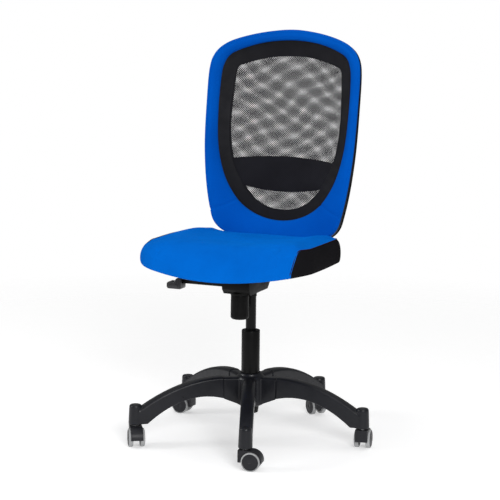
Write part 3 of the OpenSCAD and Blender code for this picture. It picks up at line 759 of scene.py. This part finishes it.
# ---- back ----------------------------------------------------------------
BACK_FOOT = np.array((0.0, 195.0, 600.0))
RECLINE = math.radians(9.8)
BACK_R = 500.0
TOP_U = 507.4
WEDGE = math.radians(1.7)
BACK_RIM = [(0, -95), (75, -89), (133, -74), (165, -60), (186, -37), (197, -2), (208, 50),
            (217, 115), (223, 190), (225, 290), (224, 385), (213, 430), (185, 461), (138, 483),
            (72, 500), (0, TOP_U)]
OPENING = [(0, -25), (60, -15), (112, 14), (148, 58), (172, 110), (188, 180), (194, 270),
           (193, 360), (187, 403), (167, 434), (110, 460), (55, 473), (0, 477)]
WINDOW = [(0, 6), (52, 14), (95, 42), (125, 85), (149, 135), (161, 190), (165, 250),
          (163, 310), (158, 380), (151, 400), (135, 408), (100, 420), (52, 431), (0, 434)]
RIM_MARKS, OPENING_MARKS, WINDOW_MARKS = (0, 5, 9, 12, 15), (0, 3, 6, 9, 12), (0, 3, 6, 9, 13)
HALF_STEPS = (34, 52, 34, 40)


def half_curve(keys, marks, steps=HALF_STEPS):
    """Right half of a mirrored smooth outline, with even steps between its marked keys."""
    mirror = [(-x, y) for x, y in keys[-2:0:-1]]
    ring = np.array(list(keys) + mirror, float)
    count = len(ring)
    dense, where = [], []
    for i in range(len(keys) - 1):
        p, q, r, s = (ring[(i + j) % count] for j in (-1, 0, 1, 2))
        where.append(len(dense))
        for t in np.linspace(0, 1, 24, endpoint=False):
            dense.append(0.5 * (2 * q + (r - p) * t + (2 * p - 5 * q + 4 * r - s) * t ** 2
                                + (3 * q - p - 3 * r + s) * t ** 3))
    where.append(len(dense))
    dense.append(ring[len(keys) - 1])
    dense = np.array(dense)
    run = np.concatenate([[0], np.cumsum(np.linalg.norm(np.diff(dense, axis=0), axis=1))])
    at = []
    for k, number in enumerate(steps):
        a, b = run[where[marks[k]]], run[where[marks[k + 1]]]
        at.extend(np.linspace(a, b, number, endpoint=False))
    at.append(run[-1])
    return np.stack([np.interp(at, run, dense[:, 0]), np.interp(at, run, dense[:, 1])], 1)


def outline(keys, marks, steps=HALF_STEPS):
    right = half_curve(keys, marks, steps)
    left = right[-2:0:-1] * (-1, 1)
    return np.vstack([right, left])


def shrunk(curve, inset):
    """Outline moved in by inset (out where it is negative)."""
    ahead = np.roll(curve, -1, 0) - np.roll(curve, 1, 0)
    normal = np.stack([-ahead[:, 1], ahead[:, 0]], 1)
    normal /= np.linalg.norm(normal, axis=1)[:, None]
    return curve + inset * normal


def back_points(u, depth, v, lean=0.0):
    """Row points from across, depth behind the back's front face, and height along it."""
    u, depth, v = np.broadcast_arrays(u, depth, v)
    sag = BACK_R - np.sqrt(BACK_R ** 2 - u ** 2)
    n = depth - sag / math.cos(lean) + (TOP_U - v) * math.tan(lean)
    y = n * math.cos(RECLINE) + v * math.sin(RECLINE)
    z = -n * math.sin(RECLINE) + v * math.cos(RECLINE)
    return np.stack([BACK_FOOT[0] + u, BACK_FOOT[1] + y, BACK_FOOT[2] + z], -1)


def ring_rows(outer, inner, section):
    """Rows round the back: each column is the section between an outer and an inner point.
    section(width) gives (distance from the outer edge, depth, lean share) for each row."""
    span = inner - outer
    width = np.linalg.norm(span, axis=1)
    way = span / width[:, None]
    rows = []
    for d, depth, share in section(width):
        at = outer + way * np.broadcast_to(d, width.shape)[:, None]
        flat = back_points(at[:, 0], depth, at[:, 1])
        leant = back_points(at[:, 0], depth, at[:, 1], WEDGE)
        rows.append(flat + (leant - flat) * np.reshape(share, (-1, 1)))
    return np.array(rows)


def pad_section(width):
    """Padded ring: flat back, soft outer edge with a stitched welt, crowned front."""
    zero = np.zeros_like(width)
    rows = [(width * 0.5, 10.9, 0), (width * 0.2, 10.9, 0), (3 + zero, 10.9, 0),
            (1.2 + zero, 10.2, 0), (0.2 + zero, 8.4, 0), (0.0 + zero, 6.2, 0),
            (0.9 + zero, 3.9, 0), (2.6 + zero, 1.9, 0), (5.0 + zero, 0.5, 0),
            (7.6 + zero, -0.2, 0), (9.2 + zero, 0.5, 0), (10.8 + zero, -0.5, 0)]
    for share, rise in ((0.1, -1.3), (0.24, -2.0), (0.4, -2.4), (0.56, -2.4), (0.72, -2.0),
                        (0.86, -1.2)):
        rows.append((11 + (width - 18) * share, rise, 0))
    rows += [(width - 6.0, -0.1, 0), (width - 3.6, 1.5, 0), (width - 1.6, 3.8, 0),
             (width - 0.5, 6.4, 0), (width - 0.3, 8.8, 0), (width - 1.2, 10.3, 0),
             (width - 3.2, 10.9, 0), (width * 0.8, 10.9, 0)]
    return rows


PAD_SEAM = ((136.0, 19.5), (188.0, -4.0))


def seam_groove(obj, depth=1.5, reach=2.6):
    """Pulls the padded ring in along the two lower seams."""
    local = to_back(coords(obj) / MM)
    a, b = np.array(PAD_SEAM[0]), np.array(PAD_SEAM[1])
    along = (b - a) / np.linalg.norm(b - a)
    across = np.array((-along[1], along[0]))
    flat = np.stack([np.abs(local[:, 0]), local[:, 2]], 1) - a
    apart = flat @ across + 3.0 * np.sin(np.clip(flat @ along, 0, 57) / 57 * math.pi)
    near = np.exp(-(apart / reach) ** 2) * (local[:, 1] < 9) * (np.abs(flat @ along) < 90)
    set_coords(obj, coords(obj) - normals_of(obj) * (near * depth * MM)[:, None])


def to_back(points):
    """Across, depth and height of row points in the back's own frame."""
    rel = points - BACK_FOOT
    n = rel[:, 1] * math.cos(RECLINE) - rel[:, 2] * math.sin(RECLINE)
    v = rel[:, 1] * math.sin(RECLINE) + rel[:, 2] * math.cos(RECLINE)
    u = rel[:, 0]
    return np.stack([u, n + BACK_R - np.sqrt(BACK_R ** 2 - u ** 2), v], 1)


def make_back_pad():
    """Padded ring, swollen by simulation, with its two lower seams."""
    outer = outline(BACK_RIM, RIM_MARKS)
    inner = outline(OPENING, OPENING_MARKS)
    rows = ring_rows(outer, inner, pad_section)
    count, cols = rows.shape[:2]
    pad = piece("back_pad", rows.reshape(-1, 3), grid_faces(count, cols, wrap_rows=True),
                BACK_BLUE, "seat", "blue_fabric", ["back_cover"])
    # rows of the section: firm behind and at the welt, free on the crown
    hold = np.ones((count, cols))
    hold[4] = hold[23] = 0.7
    hold[5:9] = 0.35
    hold[9:12] = 0.8
    hold[12:20] = 0.0
    hold[20:23] = 0.35
    inflate(pad, hold.ravel(), cap=2.5)
    subdivide(pad)
    seam_groove(pad)


def plate_section(front, rear, edge, lean_front, lean_rear):
    """Plate between two depths with rounded edges."""
    def rows(width):
        zero = np.zeros_like(width)
        outer = [(edge * (1 - math.sin(math.radians(a))) + zero,
                  front + edge * (1 - math.cos(math.radians(a))), lean_front)
                 for a in np.linspace(0, 90, 5)]
        outer += [(edge * (1 - math.cos(math.radians(a))) + zero,
                   rear - edge * (1 - math.sin(math.radians(a))), lean_rear)
                  for a in np.linspace(0, 90, 5)]
        for share in (0.25, 0.5, 0.75):
            outer.append((width * share, rear, lean_rear))
        outer += [(width - edge * (1 - math.sin(math.radians(a))),
                   rear - edge * (1 - math.cos(math.radians(a))), lean_rear)
                  for a in np.linspace(0, 90, 5)]
        outer += [(width - edge * (1 - math.cos(math.radians(a))),
                   front + edge * (1 - math.sin(math.radians(a))), lean_front)
                  for a in np.linspace(0, 90, 5)]
        for share in (0.75, 0.5, 0.25):
            outer.append((width * share, front, lean_front))
        return outer
    return rows


def make_plate(name, inset, window_inset, front, rear, edge, leans, material, slot, replaces):
    """Plate with the window cut out, moved in from the back's rim and from the window."""
    outer = shrunk(outline(BACK_RIM, RIM_MARKS), inset)
    inner = shrunk(outline(WINDOW, WINDOW_MARKS), window_inset)
    rows = ring_rows(outer, inner, plate_section(front, rear, edge, *leans))
    count, cols = rows.shape[:2]
    return piece(name, rows.reshape(-1, 3), grid_faces(count, cols, wrap_rows=True), material,
                 "seat", slot, replaces)


def inside(points, polygon):
    """Which of the points lie inside the polygon."""
    x, y = points[:, 0], points[:, 1]
    result = np.zeros(len(points), bool)
    for (x0, y0), (x1, y1) in zip(polygon, np.roll(polygon, -1, 0)):
        crosses = (y0 > y) != (y1 > y)
        with np.errstate(divide="ignore", invalid="ignore"):
            result ^= crosses & (x < (x1 - x0) * (y - y0) / (y1 - y0) + x0)
    return result


def make_net(name, curve, depth, lean, replaces, half_w, half_h, waver):
    """Open net: rows of diamond cells cut to the outline and laid on the back's curve, pulled
    a little out of true by waver millimetres."""
    open_share = 0.66
    span_u = int(240 / half_w)
    low, high = curve[:, 1].min(), curve[:, 1].max()
    cells = [(i * half_w, low + j * half_h) for i in range(-span_u, span_u + 1)
             for j in range(int((high - low) / half_h) + 1) if (i + j) % 2 == 0]
    cells = np.array(cells)
    cells = cells[inside(cells, curve)]
    corners = np.array([(half_w, 0), (0, half_h), (-half_w, 0), (0, -half_h)])
    outer = (cells[:, None, :] + corners).reshape(-1, 2)
    keys = np.round(outer / (half_w, half_h)).astype(int)
    unique, ids = np.unique(keys, axis=0, return_inverse=True)
    ids = np.asarray(ids).reshape(-1, 4)
    knots = np.empty((len(unique), 2))
    knots[ids.ravel()] = outer
    holes = (cells[:, None, :] + corners * open_share).reshape(-1, 2)
    flat = np.vstack([knots, holes])
    u, v = flat[:, 0].copy(), flat[:, 1].copy()
    flat[:, 0] += waver * np.sin(v / 31 + np.sin(u / 43)) + waver * 0.012 * v
    flat[:, 1] += waver * 0.8 * np.sin(u / 37 + 1.3 * np.sin(v / 52))
    verts = back_points(flat[:, 0], depth, flat[:, 1], lean)
    first = len(knots)
    faces = []
    for c in range(len(cells)):
        for k in range(4):
            n = (k + 1) % 4
            faces.append((int(ids[c, k]), int(ids[c, n]), first + 4 * c + n, first + 4 * c + k))
    net = piece(name, verts, faces, NET, "seat", "mesh", replaces, smooth=False)
    return net


def make_lumbar():
    """Lens-shaped pad behind the front net, from one side of the window to the other."""
    half_w, half_thick, depth = 150.5, 4.1, 16.7
    (top_r, top_v), (low_r, low_v) = (900, 154), (560, 55)
    lower = half_curve(WINDOW, WINDOW_MARKS)
    lower = lower[lower[:, 1] < 190]
    across = np.sin(np.linspace(-1, 1, 96) * math.pi / 2)
    x = half_w * across
    top = top_v - top_r + np.sqrt(top_r ** 2 - x ** 2)
    low = low_v + low_r - np.sqrt(low_r ** 2 - x ** 2)
    low = np.maximum(low, np.interp(np.abs(x), lower[:, 0] + 0.6, lower[:, 1]))
    middle, half = (top + low) / 2, np.maximum((top - low) / 2, 0.4)
    thick = half_thick * np.minimum(1, np.sqrt(1 - np.abs(across) ** 8) + 0.15)
    rings = []
    for a in np.radians(np.linspace(0, 360, 33)[:-1]):
        c, s = math.cos(a), math.sin(a)
        v = middle + half * math.copysign(abs(c) ** 0.55, c)
        rings.append(back_points(x, depth - thick * math.copysign(abs(s) ** 0.7, s), v))
    pad = piece("lumbar_cushion", *loft(np.array(rings).transpose(1, 0, 2)), LUMBAR_CLOTH,
                "seat", "black_fabric", ["lumbar_pad"])


# ---- build ---------------------------------------------------------------
for k in CASTERS:
    make_leg(k)
    for side in ("left", "right"):
        make_wheel(k, side)
    dress_node(f"caster_{k}_hood", WHEEL_PLASTIC, bevel=1.6, segments=4)
    dress_node(f"caster_{k}_pins", STEEL)
make_hub()
BEVELS = {"tilt_housing": 1.2, "seat_carrier": 0.8, "back_bracket": 0.8, "height_lever": 1.0,
          "lever_paddle": 2.4, "column_outer_tube": 0.8, "column_gas_spring": 0.5,
          "tension_knob": 0.8, "seat_shell": 1.0}
for name, material in NODE_LOOK.items():
    if name not in ("base_hub", "back_frame"):
        dress_node(name, material, BEVELS.get(name, 0))
make_seat()
make_back_pad()
make_net("back_net_front", shrunk(outline(OPENING, OPENING_MARKS), -9), 11.75, 0.0,
         ["back_mesh_front"], 2.9, 3.0, 0.5)
make_plate("back_frame_shell", 4, 0, 12.5, 18.5, 1.6, (0, 1), FRAME_PLASTIC, "frame_plastic",
           ["back_frame"])
make_lumbar()
make_net("back_net_rear", shrunk(outline(WINDOW, WINDOW_MARKS), -7), 19.25, WEDGE,
         ["back_mesh_rear"], 2.7, 2.65, 1.4)
make_plate("back_rear_pad", 2, -1, 20.0, 22.5, 1.2, (1, 1), BLACK_CLOTH, "black_fabric",
           ["back_rear_cover"])

# ---- camera, light and floor ---------------------------------------------
CAMERA_AT = (1.9546, -4.6021, 1.343)
CAMERA_LOOK = Vector((-0.3865, 0.9079, -0.1625)).normalized()
CAMERA_ROLL = math.radians(0.52)

scene = bpy.context.scene
camera = bpy.data.objects.new("camera", bpy.data.cameras.new("camera"))
scene.collection.objects.link(camera)
camera.location = CAMERA_AT
camera.rotation_euler = (CAMERA_LOOK.to_track_quat("-Z", "Y").to_matrix()
                         @ Matrix.Rotation(CAMERA_ROLL, 3, "Z")).to_euler()
camera.data.lens = 135.4
camera.data.sensor_width = 36
scene.camera = camera


def area_light(name, location, height, size, power):
    """Square soft light aimed at a height on the column's axis."""
    light = bpy.data.lights.new(name, "AREA")
    light.shape = "RECTANGLE"
    light.size = light.size_y = size
    light.energy = power
    obj = bpy.data.objects.new(name, light)
    obj.location = location
    aim = Vector((0, 0, height)) - Vector(location)
    obj.rotation_euler = aim.to_track_quat("-Z", "Y").to_euler()
    scene.collection.objects.link(obj)


area_light("key", (2.4, -3.3, 2.1), 0.6, 1.5, 114)
area_light("side", (-3.3, -1.8, 1.5), 0.5, 1.2, 50)
area_light("top", (0, 0, 5.0), 0, 5.0, 105)

# the studio lights the object dimly and is seen white
world = bpy.data.worlds.new("studio")
world.use_nodes = True
dim = world.node_tree.nodes["Background"]
dim.inputs[0].default_value = (0.22, 0.22, 0.22, 1)
seen = world.node_tree.nodes.new("ShaderNodeBackground")
seen.inputs[0].default_value = (1, 1, 1, 1)
choice = world.node_tree.nodes.new("ShaderNodeMixShader")
ray = world.node_tree.nodes.new("ShaderNodeLightPath")
link = world.node_tree.links.new
link(ray.outputs["Is Camera Ray"], choice.inputs[0])
link(dim.outputs[0], choice.inputs[1])
link(seen.outputs[0], choice.inputs[2])
link(choice.outputs[0], world.node_tree.nodes["World Output"].inputs[0])
scene.world = world
scene.view_settings.view_transform = "Standard"

# white paper floor that fades out away from the object
FLOOR_HALF = 9
floor_mesh = bpy.data.meshes.new("floor")
floor_mesh.from_pydata([(x * FLOOR_HALF, y * FLOOR_HALF, 0)
                        for x, y in ((-1, -1), (1, -1), (1, 1), (-1, 1))], [], [(0, 1, 2, 3)])
floor = bpy.data.objects.new("floor", floor_mesh)
scene.collection.objects.link(floor)
paper = Nodes("paper")
paper.put(paper.shader, Base_Color=(0.8, 0.8, 0.8, 1), Roughness=0.9,
          Emission_Color=(1, 1, 1, 1), Emission_Strength=0.42)
far = paper.add("ShaderNodeVectorMath", operation="LENGTH")
paper.put(far, Vector=paper.coords)
paper.put(paper.shader, Alpha=paper.span(far.outputs["Value"], 1.0, 0.0, 0.9, 2.6))
floor.data.materials.append(paper.mat)


def corners(box):
    return [[float(c) for c in corner] for corner in box]
